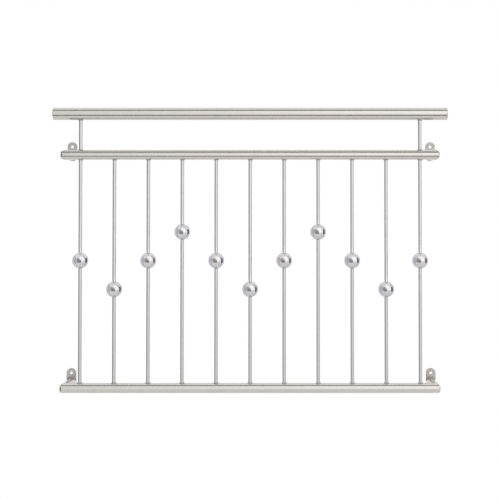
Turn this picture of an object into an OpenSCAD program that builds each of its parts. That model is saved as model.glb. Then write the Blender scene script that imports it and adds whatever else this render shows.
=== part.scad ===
// Juliet balcony: a stainless steel guard that is bolted to the wall across a tall window.
// A thick handrail stands on two short posts above a ladder of thin upright bars, and each bar
// carries one hollow ball. Both rails are mitred at their ends to short returns, which run back
// to the wall and end in drilled plates.
// Z is up and the street side faces -Y. The wall is the plane Y = 0. The origin lies on it,
// where the axis of the lower left return meets it.

/* [Overall] */
// Length of the handrail over its two end caps
handrail_length = 1280; // [1000:10:1800]
// Height from the lower rail's underside to the handrail's top
railing_height = 925; // [750:1:1150]
// Distance from the wall to the axes of the rails and the handrail
standoff = 90; // [60:1:150]

/* [Handrail] */
// Outside diameter of the handrail tube
handrail_d = 40; // [30:1:60]
// Wall of the handrail tube
handrail_wall = 1.5; // [1:0.1:3]
// Height of the handrail's axis above the upper rail's axis
handrail_rise = 133.5; // [90:0.5:180]
// Thickness of an end cap outside the tube
cap_thickness = 2; // [1:0.5:6]
// Bevel around an end cap's face
cap_bevel = 0.5; // [0.2:0.1:0.8]
// Depth of an end cap's spigot inside the tube
spigot_depth = 12; // [5:1:30]
// Wall of an end cap's spigot
spigot_wall = 2; // [1:0.5:5]

/* [Rails and returns] */
// Outside diameter of the rail tubes
rail_d = 32; // [24:1:42]
// Wall of the rail tubes
rail_wall = 1.5; // [1:0.1:3]
// Distance from the handrail's end to the axis of the returns below it
return_inset = 40; // [0:1:80]
// Depth ground off the outer edge of a mitred corner, along its diagonal
corner_trim = 4; // [1:0.5:4]
// Radius that the outer edge of a mitred corner is ground to
corner_radius = 10; // [10:1:20]

/* [Bars] */
// Number of upright bars
bar_count = 11; // [5:1:15]
// Diameter of the bars and of the handrail's posts
bar_d = 12; // [8:1:18]
// Distance from the axis of a return to the axis of the first bar
end_bar_inset = 48; // [35:1:80]
// Distance that a bar's end reaches past the inside of the tube that it enters
bar_reach = 1.2; // [0.5:0.1:3]

/* [Balls] */
// Outside diameter of a ball
ball_d = 51; // [30:1:70]
// Wall of a hollow ball
ball_wall = 1.2; // [0.8:0.1:3]
// Height of the middle row of balls above the lower rail's axis
ball_middle_height = 412; // [200:1:440]
// Step from the middle row up to the high balls and down to the low ones
ball_step = 93; // [0:1:110]

/* [Wall plates] */
// Thickness of a wall plate
plate_thickness = 5; // [3:0.5:12]
// Width of the plate outside the tube, on each side
plate_margin = 0; // [0:0.5:10]
// Distance that the plate's round foot reaches below the tube
plate_foot = 2; // [0:0.5:10]
// Height of the bolt hole above the tube's axis
bolt_rise = 30; // [24:1:60]
// Diameter of the bolt hole
bolt_hole_d = 10; // [6:0.5:14]

/* [Fits] */
// Radial gap round a bar in its drilled hole and in its ball
bar_gap = 0.1; // [0.05:0.05:0.3]
// Radial gap round a cap's spigot in the handrail
spigot_gap = 0.1; // [0.05:0.05:0.3]

/* [Hidden] */
$fn = 96;
SIDES = ["left", "right"];
PAIRED = [
    "handrail_cap",
    "handrail_post",
    "upper_return",
    "upper_plate",
    "lower_return",
    "lower_plate"
];

// Finishes
brushed = [0.78, 0.77, 0.75];
polished = [0.86, 0.86, 0.88];

// Extra depth of a cut past the face that it opens
cut_over = 1;

// Plan: distances along X from the railing's middle
return_span = handrail_length - 2 * return_inset;
bar_span = return_span - 2 * end_bar_inset;
bar_pitch = bar_span / (bar_count - 1);
middle_x = return_span / 2;

// Elevation: heights of the three tubes' axes
lower_z = 0;
handrail_z = railing_height - rail_d / 2 - handrail_d / 2;
upper_z = handrail_z - handrail_rise;

rod_hole_d = bar_d + 2 * bar_gap;

function numbered(name, i) = str(name, i < 10 ? "_0" : "_", i);

// Place of a bar along the railing, from its middle
function bar_offset(i) = (i - 1) * bar_pitch - bar_span / 2;

// Balls run middle, low, middle, high from bar to bar
function ball_height(i) = ball_middle_height + ball_step * cos(90 * i);

// Depth of a rod's end below the crown of the tube that it enters
function seat_depth(tube_d, wall) =
    tube_d / 2 - sqrt(pow(tube_d / 2 - wall, 2) - pow(rod_hole_d / 2, 2)) + bar_reach;

// Draws a left-hand piece at its place, or its mirror image at the right
module on_side(side) {
    translate([middle_x, 0, 0])
        mirror([side == "right" ? 1 : 0, 0, 0])
            translate([-middle_x, 0, 0])
                children();
}

// Section of a tube
module ring(d, wall) {
    difference() {
        circle(d = d);
        circle(d = d - 2 * wall);
    }
}

// Holes for rods, drilled upwards from below a tube's underside to its axis
module rod_holes(tube_d, offsets) {
    for (x = offsets)
        translate([x, 0, -tube_d / 2 - cut_over])
            cylinder(h = tube_d / 2 + cut_over, d = rod_hole_d);
}

// Bore of a rail or a return, from the centre of a corner upwards. Its end is round there, so
// that the weld metal behind the corner's outer edge stays thick.
module corner_bore(length, round_top = false) {
    r = rail_d / 2 - rail_wall;
    rotate_extrude()
        intersection() {
            translate([0, -r])
                square([r, length + 2 * r]);
            union() {
                circle(r = r);
                translate([-r, 0])
                    square([2 * r, length]);
                if (round_top)
                    translate([0, length])
                        circle(r = r);
            }
        }
}

// What a corner takes off one of its two tubes: all that lies past the mitre, and what is
// ground off the outer edge. The origin is where the two axes meet.
module corner_cut(tube) {
    far = 2 * rail_d;
    reach = rail_d / 2 * sqrt(2) - corner_trim;
    centre = (corner_radius - reach) / sqrt(2);
    linear_extrude(rail_d + 2 * cut_over, center = true) {
        polygon([
            [-far, -far],
            [far, far],
            tube == "rail" ? [-far, far] : [far, -far]
        ]);
        difference() {
            translate([centre - far, centre - far])
                square(far);
            translate([centre, centre])
                circle(r = corner_radius);
        }
    }
}

// A rail from corner to corner, mitred at both, with rods below it and above it
module mitred_rail(z, below, above) {
    color(brushed)
        difference() {
            translate([middle_x, -standoff, z])
                difference() {
                    rotate([0, 90, 0])
                        cylinder(h = return_span + 2 * rail_d, d = rail_d, center = true);
                    translate([-middle_x, 0, 0])
                        rotate([0, 90, 0])
                            corner_bore(return_span, round_top = true);
                    rod_holes(rail_d, below);
                    mirror([0, 0, 1])
                        rod_holes(rail_d, above);
                }
            for (side = SIDES)
                on_side(side)
                    translate([0, -standoff, z])
                        corner_cut("rail");
        }
}

// An upright rod between two tubes' crowns, with its ends seated inside them
module rod(offset, low_crown, low_seat, high_crown, high_seat) {
    translate([middle_x + offset, -standoff, low_crown - low_seat])
        cylinder(h = high_crown + high_seat - low_crown + low_seat, d = bar_d);
}

module handrail() {
    posts = [bar_offset(1), bar_offset(bar_count)];
    color(brushed)
        translate([middle_x, -standoff, handrail_z])
            difference() {
                rotate([0, 90, 0])
                    linear_extrude(handrail_length - 2 * cap_thickness, center = true)
                        ring(handrail_d, handrail_wall);
                rod_holes(handrail_d, posts);
            }
}

// A turned cap: a bevelled disc that covers the tube's end, and a hollow spigot inside the tube
module handrail_cap(side) {
    r = handrail_d / 2;
    spigot_r = r - handrail_wall - spigot_gap;
    bore_r = spigot_r - spigot_wall;
    inner_end = cap_thickness + spigot_depth;
    color(brushed)
        on_side(side)
            translate([-return_inset, -standoff, handrail_z])
                rotate([0, 90, 0])
                    rotate_extrude()
                        polygon([
                            [0, 0],
                            [r - cap_bevel, 0],
                            [r, cap_bevel],
                            [r, cap_thickness],
                            [spigot_r, cap_thickness],
                            [spigot_r, inner_end],
                            [bore_r, inner_end],
                            [bore_r, cap_thickness],
                            [0, cap_thickness]
                        ]);
}

module handrail_post(side) {
    color(brushed)
        on_side(side)
            rod(
                bar_offset(1),
                upper_z + rail_d / 2,
                seat_depth(rail_d, rail_wall),
                handrail_z - handrail_d / 2,
                seat_depth(handrail_d, handrail_wall)
            );
}

module upper_rail() {
    bars = [for (i = [1:bar_count]) bar_offset(i)];
    posts = [bar_offset(1), bar_offset(bar_count)];
    mitred_rail(upper_z, bars, posts);
}

module lower_rail() {
    bars = [for (i = [1:bar_count]) bar_offset(i)];
    mitred_rail(lower_z, [], bars);
}

// A return: the short tube from a rail's mitred corner back to the wall plate
module return_tube(side, z) {
    length = standoff - plate_thickness;
    color(brushed)
        on_side(side)
            translate([0, -standoff, z])
                difference() {
                    translate([0, -rail_d, 0])
                        rotate([-90, 0, 0])
                            cylinder(h = rail_d + length, d = rail_d);
                    rotate([-90, 0, 0])
                        corner_bore(length + cut_over);
                    corner_cut("return");
                }
}

// A plate as wide as the tube, round at both ends, with its bolt hole above the tube
module wall_plate(side, z) {
    r = rail_d / 2 + plate_margin;
    color(brushed)
        on_side(side)
            translate([0, 0, z])
                rotate([90, 0, 0])
                    linear_extrude(plate_thickness)
                        difference() {
                            union() {
                                translate([0, -plate_foot])
                                    circle(r = r);
                                translate([-r, -plate_foot])
                                    square([2 * r, plate_foot + bolt_rise]);
                                translate([0, bolt_rise])
                                    circle(r = r);
                            }
                            translate([0, bolt_rise])
                                circle(d = bolt_hole_d);
                        }
}

module bar(i) {
    seat = seat_depth(rail_d, rail_wall);
    color(brushed)
        rod(bar_offset(i), lower_z + rail_d / 2, seat, upper_z - rail_d / 2, seat);
}

// A hollow ball, bored right through for its bar
module ball(i) {
    color(polished)
        translate([middle_x + bar_offset(i), -standoff, lower_z + ball_height(i)])
            difference() {
                sphere(d = ball_d);
                sphere(d = ball_d - 2 * ball_wall);
                cylinder(h = ball_d + 2 * cut_over, d = rod_hole_d, center = true);
            }
}

handrail();
upper_rail();
lower_rail();

for (side = SIDES) {
    handrail_cap(side);
    handrail_post(side);
    return_tube(side, upper_z);
    wall_plate(side, upper_z);
    return_tube(side, lower_z);
    wall_plate(side, lower_z);
}

for (i = [1:bar_count]) {
    bar(i);
    ball(i);
}
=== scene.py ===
"""Looks of a stainless steel juliet balcony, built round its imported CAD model.

Two rails and a thick handrail of satin tube, eleven thin bars that each carry a polished ball,
and four drilled wall plates. The CAD gives every tube, bar, ball and plate. This script adds the
welds, the finishes, the studio and the camera. Everything is in metres: Z is up, the wall is the
plane Y = 0, and the street side faces -Y.
"""

import math

import bmesh
import bpy
from mathutils import Matrix, Vector


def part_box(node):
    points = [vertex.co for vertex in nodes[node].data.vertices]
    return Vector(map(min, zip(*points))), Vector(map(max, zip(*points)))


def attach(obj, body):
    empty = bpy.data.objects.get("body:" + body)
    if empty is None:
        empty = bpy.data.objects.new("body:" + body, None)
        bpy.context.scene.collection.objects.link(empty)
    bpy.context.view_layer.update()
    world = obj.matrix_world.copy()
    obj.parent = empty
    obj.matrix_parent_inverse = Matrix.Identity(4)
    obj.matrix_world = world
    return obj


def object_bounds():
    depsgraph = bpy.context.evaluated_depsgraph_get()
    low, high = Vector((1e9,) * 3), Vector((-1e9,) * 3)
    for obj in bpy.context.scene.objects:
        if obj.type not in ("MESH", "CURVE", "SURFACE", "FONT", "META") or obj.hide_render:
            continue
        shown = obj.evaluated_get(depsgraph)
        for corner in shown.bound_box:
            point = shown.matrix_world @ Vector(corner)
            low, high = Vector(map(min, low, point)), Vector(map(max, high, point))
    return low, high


MM = 0.001

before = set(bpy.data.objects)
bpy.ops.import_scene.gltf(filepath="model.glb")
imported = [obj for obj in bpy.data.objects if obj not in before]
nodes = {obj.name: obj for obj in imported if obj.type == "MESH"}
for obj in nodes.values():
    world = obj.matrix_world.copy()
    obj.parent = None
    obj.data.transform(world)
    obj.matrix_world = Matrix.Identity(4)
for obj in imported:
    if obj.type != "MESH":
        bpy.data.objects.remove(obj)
cad_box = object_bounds()
scene = bpy.context.scene


# ---------------------------------------------------------------- places taken from the CAD

def middle(name):
    """The middle of a CAD node's box."""
    low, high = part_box(name)
    return (low + high) / 2


def width(name):
    """The size of a CAD node's box along X."""
    low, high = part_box(name)
    return high.x - low.x


bar_names = sorted(name for name in nodes if name.startswith("bar_"))
ball_names = sorted(name for name in nodes if name.startswith("ball_"))
post_names = sorted(name for name in nodes if name.startswith("handrail_post_"))
plate_names = sorted(name for name in nodes if "_plate_" in name)
return_names = sorted(name for name in nodes if "_return_" in name)
cap_names = sorted(name for name in nodes if name.startswith("handrail_cap_"))

handrail_axis = middle("handrail")
upper_axis = middle("upper_rail")
lower_axis = middle("lower_rail")
handrail_r = (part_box("handrail")[1].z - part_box("handrail")[0].z) / 2
rail_r = (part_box("lower_rail")[1].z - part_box("lower_rail")[0].z) / 2
bar_r = width(bar_names[0]) / 2
ball_r = width(ball_names[0]) / 2
railing_middle = (cad_box[0] + cad_box[1]) / 2


# ---------------------------------------------------------------- nodes and colours

def srgb(hex_colour):
    """An sRGB hex colour as the linear colour that the shader works in."""
    parts = [int(hex_colour[i:i + 2], 16) / 255 for i in (1, 3, 5)]
    linear = [p / 12.92 if p <= 0.04045 else ((p + 0.055) / 1.055) ** 2.4 for p in parts]
    return (*linear, 1.0)


def add(tree, kind, inputs=None, **settings):
    """Adds a node: settings are its own fields, and inputs are values or the sockets that feed it."""
    made = tree.nodes.new(kind)
    for field, value in settings.items():
        setattr(made, field, value)
    for socket, value in (inputs or {}).items():
        if isinstance(value, bpy.types.NodeSocket):
            tree.links.new(value, made.inputs[socket])
        else:
            made.inputs[socket].default_value = value
    return made


def new_material(name):
    """An empty node material."""
    material = bpy.data.materials.new(name)
    material.use_nodes = True
    material.node_tree.nodes.clear()
    return material


def grain_scale(axis, fine_mm, long_mm):
    """Noise scales per metre for a grain that is fine along one axis and long along the others."""
    scales = [1 / (long_mm * MM)] * 3
    scales["xyz".index(axis)] = 1 / (fine_mm * MM)
    return scales


def satin_steel(name, colours, scales, roughness, grain_height_mm):
    """Ground stainless steel: fine scratches over slow bands where the belt pressed harder."""
    material = new_material(name)
    tree = material.node_tree
    place = add(tree, "ShaderNodeTexCoord").outputs["Object"]
    along = add(tree, "ShaderNodeMapping", {"Vector": place, "Scale": scales}).outputs["Vector"]
    grain = add(tree, "ShaderNodeTexNoise", {"Vector": along, "Scale": 1.0, "Detail": 4.0})
    bands = add(tree, "ShaderNodeTexNoise", {"Vector": along, "Scale": 0.06, "Detail": 2.0})
    both = add(
        tree,
        "ShaderNodeMix",
        {0: 0.35, 2: grain.outputs["Fac"], 3: bands.outputs["Fac"]},
    )
    share = add(
        tree,
        "ShaderNodeMapRange",
        {"Value": both.outputs[0], "From Min": 0.25, "From Max": 0.75},
    )
    colour = add(
        tree,
        "ShaderNodeMix",
        {0: share.outputs[0], 6: srgb(colours[0]), 7: srgb(colours[1])},
        data_type="RGBA",
    )
    rough = add(
        tree,
        "ShaderNodeMapRange",
        {
            "Value": both.outputs[0],
            "From Min": 0.25,
            "From Max": 0.75,
            "To Min": roughness[1],
            "To Max": roughness[0],
        },
    )
    bump = add(
        tree,
        "ShaderNodeBump",
        {"Height": grain.outputs["Fac"], "Strength": 1.0, "Distance": grain_height_mm * MM},
    )
    metal = add(
        tree,
        "ShaderNodeBsdfPrincipled",
        {
            "Base Color": colour.outputs[2],
            "Metallic": 1.0,
            "Roughness": rough.outputs[0],
            "Normal": bump.outputs["Normal"],
        },
    )
    add(tree, "ShaderNodeOutputMaterial", {"Surface": metal.outputs[0]})
    return material


# Satin stainless tube, belt-ground round its girth with 240 grit. The real scratches are about
# 0.06 mm apart, so they are drawn 1.2 mm apart to show. They smear reflections along the tube
# and leave the long light and dark lines on it crisp.
rail_steel = satin_steel(
    "satin_ground_tube",
    ("#C6C3BF", "#CFCCC9"),
    grain_scale("x", 1.2, 30),
    (0.13, 0.18),
    0.004,
)

# The same tube where it turns back to the wall, with its scratches round the leg.
return_steel = satin_steel(
    "satin_ground_return",
    ("#C6C3BF", "#CFCCC9"),
    grain_scale("y", 1.2, 30),
    (0.13, 0.18),
    0.004,
)

# Satin round bar, ground as it turns. It is a cooler, more even grey than the tube.
bar_steel = satin_steel(
    "satin_round_bar",
    ("#BDBDBD", "#C7C7C7"),
    grain_scale("z", 1.2, 20),
    (0.16, 0.24),
    0.003,
)

# Cut plate with a long straight brush from side to side, duller than the tube.
plate_steel = satin_steel(
    "brushed_cut_plate",
    ("#AEABA7", "#BCB9B5"),
    grain_scale("z", 1.0, 40),
    (0.28, 0.38),
    0.006,
)


def polished_steel(name):
    """Mirror-polished hollow ball: clear reflections, with faint buffing swirls and a cool rim."""
    material = new_material(name)
    tree = material.node_tree
    place = add(tree, "ShaderNodeTexCoord").outputs["Object"]
    swirl = add(
        tree,
        "ShaderNodeTexNoise",
        {"Vector": place, "Scale": 90.0, "Detail": 3.0, "Distortion": 1.5},
    )
    colour = add(
        tree,
        "ShaderNodeMix",
        {0: swirl.outputs["Fac"], 6: srgb("#CAC9CD"), 7: srgb("#D3D2D5")},
        data_type="RGBA",
    )
    rough = add(
        tree,
        "ShaderNodeMapRange",
        {"Value": swirl.outputs["Fac"], "To Min": 0.03, "To Max": 0.08},
    )
    bump = add(
        tree,
        "ShaderNodeBump",
        {"Height": swirl.outputs["Fac"], "Strength": 1.0, "Distance": 0.002 * MM},
    )
    metal = add(
        tree,
        "ShaderNodeBsdfPrincipled",
        {
            "Base Color": colour.outputs[2],
            "Metallic": 1.0,
            "Roughness": rough.outputs[0],
            "Specular Tint": srgb("#DEDBEA"),
            "Normal": bump.outputs["Normal"],
        },
    )
    add(tree, "ShaderNodeOutputMaterial", {"Surface": metal.outputs[0]})
    return material


ball_steel = polished_steel("mirror_polished_ball")


def weld_metal(name):
    """TIG weld bead, brushed clean: darker and duller than the tube, with small pits."""
    material = new_material(name)
    tree = material.node_tree
    place = add(tree, "ShaderNodeTexCoord").outputs["Object"]
    tint = add(tree, "ShaderNodeTexNoise", {"Vector": place, "Scale": 260.0, "Detail": 2.0})
    pits = add(tree, "ShaderNodeTexNoise", {"Vector": place, "Scale": 1500.0, "Detail": 3.0})
    colour = add(
        tree,
        "ShaderNodeMix",
        {0: tint.outputs["Fac"], 6: srgb("#8F8B87"), 7: srgb("#B4B1AE")},
        data_type="RGBA",
    )
    rough = add(
        tree,
        "ShaderNodeMapRange",
        {"Value": pits.outputs["Fac"], "To Min": 0.3, "To Max": 0.55},
    )
    bump = add(
        tree,
        "ShaderNodeBump",
        {"Height": pits.outputs["Fac"], "Strength": 1.0, "Distance": 0.05 * MM},
    )
    metal = add(
        tree,
        "ShaderNodeBsdfPrincipled",
        {
            "Base Color": colour.outputs[2],
            "Metallic": 1.0,
            "Roughness": rough.outputs[0],
            "Normal": bump.outputs["Normal"],
        },
    )
    add(tree, "ShaderNodeOutputMaterial", {"Surface": metal.outputs[0]})
    return material


weld_steel = weld_metal("brushed_weld_bead")


def finish_nodes(names, material):
    """Gives CAD nodes their finish."""
    for name in names:
        for slot in nodes[name].material_slots:
            slot.material = material


finish_nodes(["handrail", "upper_rail", "lower_rail"], rail_steel)
finish_nodes(return_names, return_steel)
finish_nodes(bar_names + post_names, bar_steel)
finish_nodes(plate_names + cap_names, plate_steel)
finish_nodes(ball_names, ball_steel)


# ---------------------------------------------------------------- eased edges of plates and caps

for name in plate_names + cap_names:
    joined = nodes[name].modifiers.new("joined", "WELD")
    joined.merge_threshold = 0.002 * MM
    eased = nodes[name].modifiers.new("eased", "BEVEL")
    eased.width = 0.4 * MM
    eased.segments = 2
    eased.limit_method = "ANGLE"
    eased.angle_limit = math.radians(40)
    eased.harden_normals = True


# ---------------------------------------------------------------- welds

FULL_TURN = 2 * math.pi


def piece_from(name, bm, material):
    """Turns a bmesh into a smooth piece that rides on the railing."""
    bmesh.ops.recalc_face_normals(bm, faces=bm.faces)
    mesh = bpy.data.meshes.new(name)
    bm.to_mesh(mesh)
    bm.free()
    mesh.shade_smooth()
    mesh.materials.append(material)
    made = bpy.data.objects.new(name, mesh)
    scene.collection.objects.link(made)
    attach(made, "root")


def spun_bead(bm, profile, turn, centre, start, angle, steps):
    """Spins a closed bead section round an axis. The profile's points are (distance from the axis,
    distance along it), and start is the direction of the first section."""
    out = Vector(start)
    axis = Vector(turn)
    section = [bm.verts.new(Vector(centre) + out * r + axis * h) for r, h in profile]
    edges = [bm.edges.new((section[i - 1], section[i])) for i in range(len(section))]
    whole = angle == FULL_TURN
    spun = bmesh.ops.spin(
        bm,
        geom=section + edges,
        cent=centre,
        axis=turn,
        angle=angle,
        steps=steps,
        use_merge=whole,
    )
    if not whole:
        last = [v for v in spun["geom_last"] if isinstance(v, bmesh.types.BMVert)]
        bmesh.ops.contextual_create(bm, geom=section)
        bmesh.ops.contextual_create(bm, geom=last)


# A fillet weld round a bar: how far it climbs the bar, how far it spreads over the tube, and
# how deep its root lies in both
BEAD_CLIMB = 2.6 * MM
BEAD_SPREAD = 3.0 * MM
BEAD_ROOT = 0.5 * MM
RIPPLES = 24
RIPPLE_HEIGHT = 0.15 * MM
STEPS_PER_RIPPLE = 4


def rod_weld(bm, x, y, crown_z, tube_r, up):
    """A rippled bead in the corner between an upright rod and the tube that it enters.
    It follows the tube's curve, which falls away from the crown in front of and behind the rod."""
    profile = [
        (bar_r - BEAD_ROOT, BEAD_CLIMB),
        (bar_r + 0.06 * BEAD_SPREAD, BEAD_CLIMB),
        (bar_r + 0.24 * BEAD_SPREAD, 0.72 * BEAD_CLIMB),
        (bar_r + 0.52 * BEAD_SPREAD, 0.42 * BEAD_CLIMB),
        (bar_r + 0.80 * BEAD_SPREAD, 0.16 * BEAD_CLIMB),
        (bar_r + BEAD_SPREAD, 0),
        (bar_r + BEAD_SPREAD, -BEAD_ROOT),
        (bar_r - BEAD_ROOT, -BEAD_ROOT),
    ]
    first = len(bm.verts)
    spun_bead(
        bm,
        profile,
        (0, 0, 1),
        (x, y, 0),
        (1, 0, 0),
        FULL_TURN,
        RIPPLES * STEPS_PER_RIPPLE,
    )
    bm.verts.ensure_lookup_table()
    for vert in bm.verts[first:]:
        across = vert.co.y - y
        along = vert.co.x - x
        reach = math.hypot(along, across)
        if bar_r + 0.1 * BEAD_SPREAD < reach < bar_r + 0.9 * BEAD_SPREAD:
            turn = math.atan2(across, along)
            vert.co.z += RIPPLE_HEIGHT * math.cos(RIPPLES * turn)
        fall = tube_r - math.sqrt(tube_r ** 2 - across ** 2)
        vert.co.z = crown_z + up * (vert.co.z - fall)


bead_mesh = bmesh.new()
for name in bar_names:
    at = middle(name)
    rod_weld(bead_mesh, at.x, at.y, lower_axis.z + rail_r, rail_r, 1)
    rod_weld(bead_mesh, at.x, at.y, upper_axis.z - rail_r, rail_r, -1)
piece_from("bar_welds", bead_mesh, weld_steel)

bead_mesh = bmesh.new()
for name in post_names:
    at = middle(name)
    rod_weld(bead_mesh, at.x, at.y, upper_axis.z + rail_r, rail_r, 1)
    rod_weld(bead_mesh, at.x, at.y, handrail_axis.z - handrail_r, handrail_r, -1)
piece_from("post_welds", bead_mesh, weld_steel)

# Fine beads that hold each ball on its bar, above and below
SEAT_LEG = 0.5 * MM
SEAT_STEPS = 48
seat_mesh = bmesh.new()
for name in ball_names:
    at = middle(name)
    mouth = math.sqrt(ball_r ** 2 - bar_r ** 2)
    for up in (1, -1):
        spun_bead(
            seat_mesh,
            [
                (bar_r - 0.3 * SEAT_LEG, up * SEAT_LEG),
                (bar_r + 0.1 * SEAT_LEG, up * SEAT_LEG),
                (bar_r + 0.6 * SEAT_LEG, up * 0.4 * SEAT_LEG),
                (bar_r + 1.2 * SEAT_LEG, -up * 0.2 * SEAT_LEG),
                (bar_r + 1.2 * SEAT_LEG, -up * 0.8 * SEAT_LEG),
                (bar_r - 0.3 * SEAT_LEG, -up * 0.8 * SEAT_LEG),
            ],
            (0, 0, 1),
            (at.x, at.y, at.z + up * mouth),
            (1, 0, 0),
            FULL_TURN,
            SEAT_STEPS,
        )
piece_from("ball_seats", seat_mesh, bar_steel)

# Mitre welds, ground almost flush: a low band on both sides of each mitre. It leaves out the
# outer edge of the corner, which is ground round.
BAND_WIDTH = 1.6 * MM
BAND_HEIGHT = 0.15 * MM
BAND_ROOT = 0.3 * MM
BAND_STEPS = 96
GROUND_HALF_ANGLE = math.radians(35)
band_section = [
    (rail_r - BAND_ROOT, 0),
    (rail_r + BAND_HEIGHT, 0),
    (rail_r + BAND_HEIGHT, 0.5 * BAND_WIDTH),
    (rail_r, BAND_WIDTH),
    (rail_r - BAND_ROOT, BAND_WIDTH),
]
mitre_mesh = bmesh.new()
for name in return_names:
    inward = 1 if name.endswith("left") else -1
    corner = Vector((middle(name).x, upper_axis.y, middle(name).z))
    front = math.cos(GROUND_HALF_ANGLE)
    rise = inward * math.sin(GROUND_HALF_ANGLE)
    for turn, start in (
        ((inward, 0, 0), (0, -front, -rise)),
        ((0, 1, 0), (-inward * front, 0, rise)),
    ):
        first = len(mitre_mesh.verts)
        spun_bead(
            mitre_mesh,
            band_section,
            turn,
            corner,
            start,
            2 * (math.pi - GROUND_HALF_ANGLE),
            BAND_STEPS,
        )
        mitre_mesh.verts.ensure_lookup_table()
        for vert in mitre_mesh.verts[first:]:
            if turn[0]:
                vert.co.x += inward * (vert.co.y - corner.y)
            else:
                vert.co.y += inward * (vert.co.x - corner.x)
piece_from("mitre_welds", mitre_mesh, weld_steel)

# The weld between each return and its plate: a fillet over the top, under the bolt hole
TOP_BEAD_HALF_ANGLE = math.radians(52)
TOP_BEAD_LEG = 3.0 * MM
TOP_BEAD_ROOT = 0.4 * MM
TOP_BEAD_STEPS = 32
leg_mesh = bmesh.new()
for name in plate_names:
    leg = middle(name.replace("_plate_", "_return_"))
    at = Vector((leg.x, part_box(name)[0].y, leg.z))
    start = Vector((math.sin(TOP_BEAD_HALF_ANGLE), 0, math.cos(TOP_BEAD_HALF_ANGLE)))
    spun_bead(
        leg_mesh,
        [
            (rail_r - TOP_BEAD_ROOT, TOP_BEAD_LEG),
            (rail_r + 0.2 * MM, TOP_BEAD_LEG),
            (rail_r + 1.0 * MM, 2.0 * MM),
            (rail_r + 2.2 * MM, 0.8 * MM),
            (rail_r + TOP_BEAD_LEG, 0),
            (rail_r + TOP_BEAD_LEG, -TOP_BEAD_ROOT),
            (rail_r - TOP_BEAD_ROOT, -TOP_BEAD_ROOT),
        ],
        (0, -1, 0),
        at,
        start,
        2 * TOP_BEAD_HALF_ANGLE,
        TOP_BEAD_STEPS,
    )
piece_from("plate_welds", leg_mesh, weld_steel)


# ---------------------------------------------------------------- camera

# It stands almost straight in front, a little below the upper rail, and looks almost level
CAMERA_RIGHT_OF_MIDDLE = 0.101
CAMERA_FROM_WALL = 2.901
CAMERA_HEIGHT = 0.651
CAMERA_PITCH = math.radians(91.06)

camera_data = bpy.data.cameras.new("camera")
camera_data.sensor_width = 36
camera_data.lens = 62.2
camera_data.shift_x = -0.0626
camera_data.shift_y = -0.158
camera = bpy.data.objects.new("camera", camera_data)
camera.location = Vector(
    (railing_middle.x + CAMERA_RIGHT_OF_MIDDLE, -CAMERA_FROM_WALL, CAMERA_HEIGHT)
)
camera.rotation_euler = (CAMERA_PITCH, 0, 0)
scene.collection.objects.link(camera)
scene.camera = camera


# ---------------------------------------------------------------- studio

scene.view_settings.view_transform = "Standard"

# The tent lights paper a little less than it shows in metal and behind the railing
TENT_LIGHT = 0.72
TENT_SEEN = 1.0

world = bpy.data.worlds.new("white_tent")
world.use_nodes = True
world.node_tree.nodes.clear()
sky = world.node_tree
ray = add(sky, "ShaderNodeLightPath")
seen = add(
    sky,
    "ShaderNodeMath",
    {0: ray.outputs["Is Camera Ray"], 1: ray.outputs["Is Glossy Ray"]},
    operation="MAXIMUM",
)
seen_or_through = add(
    sky,
    "ShaderNodeMath",
    {0: seen.outputs[0], 1: ray.outputs["Is Transmission Ray"]},
    operation="MAXIMUM",
)
strength = add(
    sky,
    "ShaderNodeMapRange",
    {"Value": seen_or_through.outputs[0], "To Min": TENT_LIGHT, "To Max": TENT_SEEN},
)
tent = add(sky, "ShaderNodeBackground", {"Color": srgb("#FFFFFF"), "Strength": strength.outputs[0]})
add(sky, "ShaderNodeOutputWorld", {"Surface": tent.outputs[0]})
scene.world = world


def stage_mesh(name, bm, material, cards=False):
    """A stage object. A card is seen in the metal only, and neither lights nor shades anything."""
    mesh = bpy.data.meshes.new(name)
    bm.to_mesh(mesh)
    bm.free()
    mesh.materials.append(material)
    made = bpy.data.objects.new(name, mesh)
    scene.collection.objects.link(made)
    if cards:
        made.visible_camera = False
        made.visible_diffuse = False
        made.visible_transmission = False
        made.visible_volume_scatter = False
        made.visible_shadow = False


FLOOR_DROP = 0.93
FLOOR_RADIUS = 2.6
FLOOR_PAPER_RADIUS = 0.9
FLOOR_WHITE_RADIUS = 1.5


def paper_floor():
    """Pale paper floor that turns to the white of the tent away from the railing."""
    material = new_material("pale_paper_floor")
    tree = material.node_tree
    place = add(tree, "ShaderNodeTexCoord").outputs["Object"]
    from_middle = add(
        tree,
        "ShaderNodeVectorMath",
        {0: place, 1: (railing_middle.x, railing_middle.y, cad_box[0].z - FLOOR_DROP)},
        operation="DISTANCE",
    )
    whiteness = add(
        tree,
        "ShaderNodeMapRange",
        {
            "Value": from_middle.outputs["Value"],
            "From Min": FLOOR_PAPER_RADIUS,
            "From Max": FLOOR_WHITE_RADIUS,
        },
        interpolation_type="SMOOTHSTEP",
    )
    fibre = add(tree, "ShaderNodeTexNoise", {"Vector": place, "Scale": 300.0, "Detail": 3.0})
    colour = add(
        tree,
        "ShaderNodeMix",
        {0: fibre.outputs["Fac"], 6: srgb("#F0EFEE"), 7: srgb("#F6F6F5")},
        data_type="RGBA",
    )
    bump = add(
        tree,
        "ShaderNodeBump",
        {"Height": fibre.outputs["Fac"], "Strength": 0.3, "Distance": 0.2 * MM},
    )
    paper = add(
        tree,
        "ShaderNodeBsdfDiffuse",
        {"Color": colour.outputs[2], "Roughness": 0.5, "Normal": bump.outputs["Normal"]},
    )
    white = add(tree, "ShaderNodeEmission", {"Color": srgb("#FFFFFF"), "Strength": 1.0})
    mixed = add(
        tree,
        "ShaderNodeMixShader",
        {0: whiteness.outputs[0], 1: paper.outputs[0], 2: white.outputs[0]},
    )
    add(tree, "ShaderNodeOutputMaterial", {"Surface": mixed.outputs[0]})
    return material


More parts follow.
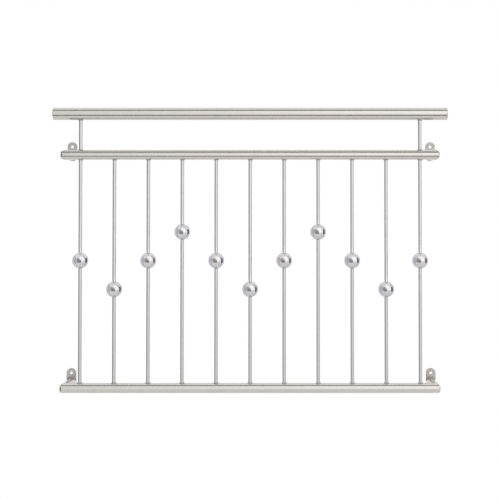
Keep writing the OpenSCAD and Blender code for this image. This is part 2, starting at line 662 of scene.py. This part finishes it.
floor_mesh = bmesh.new()
bmesh.ops.create_circle(floor_mesh, cap_ends=True, segments=64, radius=FLOOR_RADIUS)
bmesh.ops.translate(
    floor_mesh,
    verts=floor_mesh.verts,
    vec=(railing_middle.x, railing_middle.y, cad_box[0].z - FLOOR_DROP),
)
stage_mesh("floor", floor_mesh, paper_floor())


NO_LIMIT_MM = 1e5


def card_tone(name, hex_colour, level=1.0, range_mm=NO_LIMIT_MM):
    """A card that shows one even tone in the metal, but not from its back or past its range."""
    material = new_material(name)
    tree = material.node_tree
    tone = add(tree, "ShaderNodeEmission", {"Color": srgb(hex_colour), "Strength": level})
    clear = add(tree, "ShaderNodeBsdfTransparent")
    back = add(tree, "ShaderNodeNewGeometry").outputs["Backfacing"]
    length = add(tree, "ShaderNodeLightPath").outputs["Ray Length"]
    far = add(tree, "ShaderNodeMath", {0: length, 1: range_mm * MM}, operation="GREATER_THAN")
    hidden = add(tree, "ShaderNodeMath", {0: back, 1: far.outputs[0]}, operation="MAXIMUM")
    mixed = add(
        tree,
        "ShaderNodeMixShader",
        {0: hidden.outputs[0], 1: tone.outputs[0], 2: clear.outputs[0]},
    )
    add(tree, "ShaderNodeOutputMaterial", {"Surface": mixed.outputs[0]})
    return material


def card(name, corners, material):
    """A four-cornered card. Its front is the side from which its corners run anticlockwise."""
    bm = bmesh.new()
    bm.faces.new([bm.verts.new(corner) for corner in corners])
    stage_mesh(name, bm, material, cards=True)


def long_strip(name, axis, low_x, high_x, side, leave, climb, reach, strip_width, tilt, material):
    """A narrow strip beside a tube, on the street side (-1) or the wall side (1). It stands where
    a line that leaves the tube's skin at the angle leave above the axis, and climbs at the angle
    climb, has gone for the length reach."""
    skin_r = handrail_r if axis is handrail_axis else rail_r
    up = math.radians(leave)
    way = math.radians(climb)
    out = skin_r * math.cos(up) + reach * math.cos(way)
    rise = skin_r * math.sin(up) + reach * math.sin(way)
    lean = math.radians(tilt)
    half = strip_width / 2
    step_out = half * math.cos(lean)
    step_up = half * math.sin(lean)
    y_far = axis.y + side * (out + step_out)
    y_near = axis.y + side * (out - step_out)
    z_far = axis.z + rise + step_up
    z_near = axis.z + rise - step_up
    corners = [
        (low_x, y_far, z_far),
        (low_x, y_near, z_near),
        (high_x, y_near, z_near),
        (high_x, y_far, z_far),
    ]
    # The front has to face the tube, above and below its axis and on both sides of it
    if leave * side > 0:
        corners.reverse()
    card(name, corners, material)


# The strips run past the tubes' ends, so that their lines reach the ends at a slant too. Only
# the tube beside a strip is near enough to show it: the balls and the other tubes don't.
# In each row: the side, leave and climb in degrees, reach and width in millimetres, and tilt in
# degrees.
STRIP_OVERRUN = 40 * MM
STRIP_RANGE_MM = 60
strip_tone = card_tone("strip_card", "#4E4C4A", range_mm=STRIP_RANGE_MM)
for name, axis, node, side, leave, climb, reach, strip_width, tilt in (
    ("handrail_upper_strip", handrail_axis, "handrail", -1, 32, 69, 40, 16, -21),
    ("handrail_lower_strip", handrail_axis, "handrail", -1, -17, -28, 34, 23, 0),
    ("upper_rail_upper_strip", upper_axis, "upper_rail", -1, 34, 63, 32, 18, 17),
    ("upper_rail_lower_strip", upper_axis, "upper_rail", -1, -19, -37, 30, 13, 0),
    ("lower_rail_upper_strip", lower_axis, "lower_rail", -1, 39, 66, 30, 12.5, 12),
    ("handrail_back_upper_strip", handrail_axis, "handrail", 1, 30, 64, 40, 20, 17),
    ("handrail_back_lower_strip", handrail_axis, "handrail", 1, -17, -28, 34, 20, 0),
    ("upper_rail_back_upper_strip", upper_axis, "upper_rail", 1, 29, 59, 35, 15, 17),
    ("upper_rail_back_lower_strip", upper_axis, "upper_rail", 1, -17, -30, 32, 15, 0),
    ("lower_rail_back_upper_strip", lower_axis, "lower_rail", 1, 29, 59, 35, 15, 17),
    ("lower_rail_back_lower_strip", lower_axis, "lower_rail", 1, -17, -30, 32, 15, 0),
):
    low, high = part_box(node)
    long_strip(
        name,
        axis,
        low.x - STRIP_OVERRUN,
        high.x + STRIP_OVERRUN,
        side,
        leave,
        climb,
        reach * MM,
        strip_width * MM,
        tilt,
        strip_tone,
    )

# A large bright wall in front and to the right. Its edges are given as angles, seen from the
# railing's middle: left and right of straight ahead, and below and above it.
WALL_AWAY = 12.0
WALL_LEFT = math.radians(22)
WALL_RIGHT = math.radians(62)
WALL_BELOW = math.radians(8)
WALL_ABOVE = math.radians(57)
WALL_FULL_LIGHT_AT = math.radians(12)
WALL_DIM_LEVEL = 1.0
WALL_FULL_LEVEL = 1.42

wall_left = railing_middle.x - WALL_AWAY * math.tan(WALL_LEFT)
wall_right = railing_middle.x + WALL_AWAY * math.tan(WALL_RIGHT)
wall_low = railing_middle.z - WALL_AWAY * math.tan(WALL_BELOW)
wall_high = railing_middle.z + WALL_AWAY * math.tan(WALL_ABOVE)
wall_y = railing_middle.y - WALL_AWAY


def bright_wall_tone():
    """The wall's light, which grows from left to right."""
    material = new_material("bright_wall")
    tree = material.node_tree
    place = add(tree, "ShaderNodeTexCoord").outputs["Object"]
    part = add(tree, "ShaderNodeSeparateXYZ", {0: place})
    level = add(
        tree,
        "ShaderNodeMapRange",
        {
            "Value": part.outputs["X"],
            "From Min": wall_left,
            "From Max": railing_middle.x + WALL_AWAY * math.tan(WALL_FULL_LIGHT_AT),
            "To Min": WALL_DIM_LEVEL,
            "To Max": WALL_FULL_LEVEL,
        },
    )
    tone = add(
        tree,
        "ShaderNodeEmission",
        {"Color": srgb("#FFFDFB"), "Strength": level.outputs[0]},
    )
    add(tree, "ShaderNodeOutputMaterial", {"Surface": tone.outputs[0]})
    return material


card(
    "bright_wall",
    [
        (wall_right, wall_y, wall_low),
        (wall_left, wall_y, wall_low),
        (wall_left, wall_y, wall_high),
        (wall_right, wall_y, wall_high),
    ],
    bright_wall_tone(),
)

# A bright ceiling, which lights the tops of the tubes and the balls
CEILING_ABOVE = 3.0
CEILING_BESIDE = 4.0
CEILING_STREET_Y = -2.5
CEILING_ROOM_Y = 5.0
CEILING_LEVEL = 1.1
ceiling_low_x = cad_box[0].x - CEILING_BESIDE
ceiling_high_x = cad_box[1].x + CEILING_BESIDE
ceiling_z = cad_box[1].z + CEILING_ABOVE
card(
    "ceiling_card",
    [
        (ceiling_low_x, CEILING_STREET_Y, ceiling_z),
        (ceiling_low_x, CEILING_ROOM_Y, ceiling_z),
        (ceiling_high_x, CEILING_ROOM_Y, ceiling_z),
        (ceiling_high_x, CEILING_STREET_Y, ceiling_z),
    ],
    card_tone("ceiling_card", "#FFFFFF", CEILING_LEVEL),
)

# A light grey card over the floor, which keeps the undersides of the tubes a shade darker
UNDER_CARD_BESIDE = 1.4
UNDER_CARD_BEFORE = 1.5
UNDER_CARD_OVER_FLOOR = 0.02
under_low = cad_box[0] + Vector(
    (-UNDER_CARD_BESIDE, -UNDER_CARD_BEFORE, UNDER_CARD_OVER_FLOOR - FLOOR_DROP)
)
under_high = cad_box[1] + Vector((UNDER_CARD_BESIDE, UNDER_CARD_BEFORE, 0))
card(
    "under_card",
    [
        (under_low.x, under_low.y, under_low.z),
        (under_high.x, under_low.y, under_low.z),
        (under_high.x, under_high.y, under_low.z),
        (under_low.x, under_high.y, under_low.z),
    ],
    card_tone("under_card", "#F6F5F3"),
)

# A grey screen at the left, which gives every bar its darker left side
SCREEN_AWAY = 1.86
SCREEN_STREET_Y = -1.7
SCREEN_ROOM_Y = 1.1
SCREEN_BELOW = 0.9
SCREEN_ABOVE = 0.8
screen_x = cad_box[0].x - SCREEN_AWAY
screen_low = cad_box[0].z - SCREEN_BELOW
screen_high = cad_box[1].z + SCREEN_ABOVE
card(
    "grey_screen",
    [
        (screen_x, SCREEN_STREET_Y, screen_low),
        (screen_x, SCREEN_ROOM_Y, screen_low),
        (screen_x, SCREEN_ROOM_Y, screen_high),
        (screen_x, SCREEN_STREET_Y, screen_high),
    ],
    card_tone("grey_screen", "#88888B"),
)

# Small cards close to each ball, turned to the camera, with their fronts to the ball. Each has a
# colour, a level and its corners, in millimetres from the ball's middle: to the right, away from
# the camera and up. Their range is short, so no ball shows the cards of another.
BALL_CARD_RANGE_MM = 45
BALL_CARDS = {
    "brown_card": (
        "#A69F98",
        1.0,
        [
            (-22, -35, -14),
            (-22, -35, 2),
            (-15, -35, 6),
            (-9, -35, 4),
            (-2, -35, 1),
            (3, -35, 0),
            (4, -35, -14),
        ],
    ),
    "tan_card": (
        "#CDC6C0",
        1.0,
        [
            (-38, -36, -8),
            (-38, -36, 24),
            (-24, -36, 24),
            (-8, -36, 14),
            (2, -36, 6),
            (6, -36, -2),
            (6, -36, -12),
        ],
    ),
    "window_card": (
        "#FFFEFC",
        1.5,
        [
            (9, -37, -3),
            (9, -37, 9),
            (-8, -37, 24),
            (-2, -37, 36),
            (20, -37, 38),
            (38, -37, 20),
            (38, -37, -3),
        ],
    ),
    "dark_card": (
        "#55545A",
        1.0,
        [(38, -23.5, 15), (38, -6, 19), (38, -6, -19), (38, -23.5, -15)],
    ),
    "grey_card": (
        "#A9A8AF",
        1.0,
        [(-38, -25, -20), (-38, -17, -22), (-38, -17, 22), (-38, -25, 20)],
    ),
    "light_card": (
        "#EDEDF1",
        1.0,
        [(-40, -38, -24), (-40, 16, -28), (-40, 16, 28), (-40, -38, 24)],
    ),
}
for card_name, (tone, level, corners) in BALL_CARDS.items():
    bm = bmesh.new()
    for name in ball_names:
        at = middle(name)
        to_camera = (camera.location - at).normalized()
        turned = to_camera.to_track_quat("-Y", "Z").to_matrix().to_4x4()
        placed = Matrix.Translation(at) @ turned
        bm.faces.new([bm.verts.new(placed @ (Vector(corner) * MM)) for corner in corners])
    material = card_tone(card_name, tone, level, BALL_CARD_RANGE_MM)
    stage_mesh(f"ball_{card_name}s", bm, material, cards=True)

# One soft lamp, high at the front left, which throws the railing's faint shadow on the floor
LAMP_SIZE = 1.6
LAMP_WATTS = 90
LAMP_FROM_MIDDLE = Vector((-0.9, -1.3, 2.2))
lamp_data = bpy.data.lights.new("soft_lamp", "AREA")
lamp_data.shape = "SQUARE"
lamp_data.size = LAMP_SIZE
lamp_data.energy = LAMP_WATTS
lamp = bpy.data.objects.new("soft_lamp", lamp_data)
lamp.location = railing_middle + LAMP_FROM_MIDDLE
lamp.rotation_euler = (railing_middle - lamp.location).to_track_quat("-Z", "Y").to_euler()
lamp.visible_glossy = False
scene.collection.objects.link(lamp)
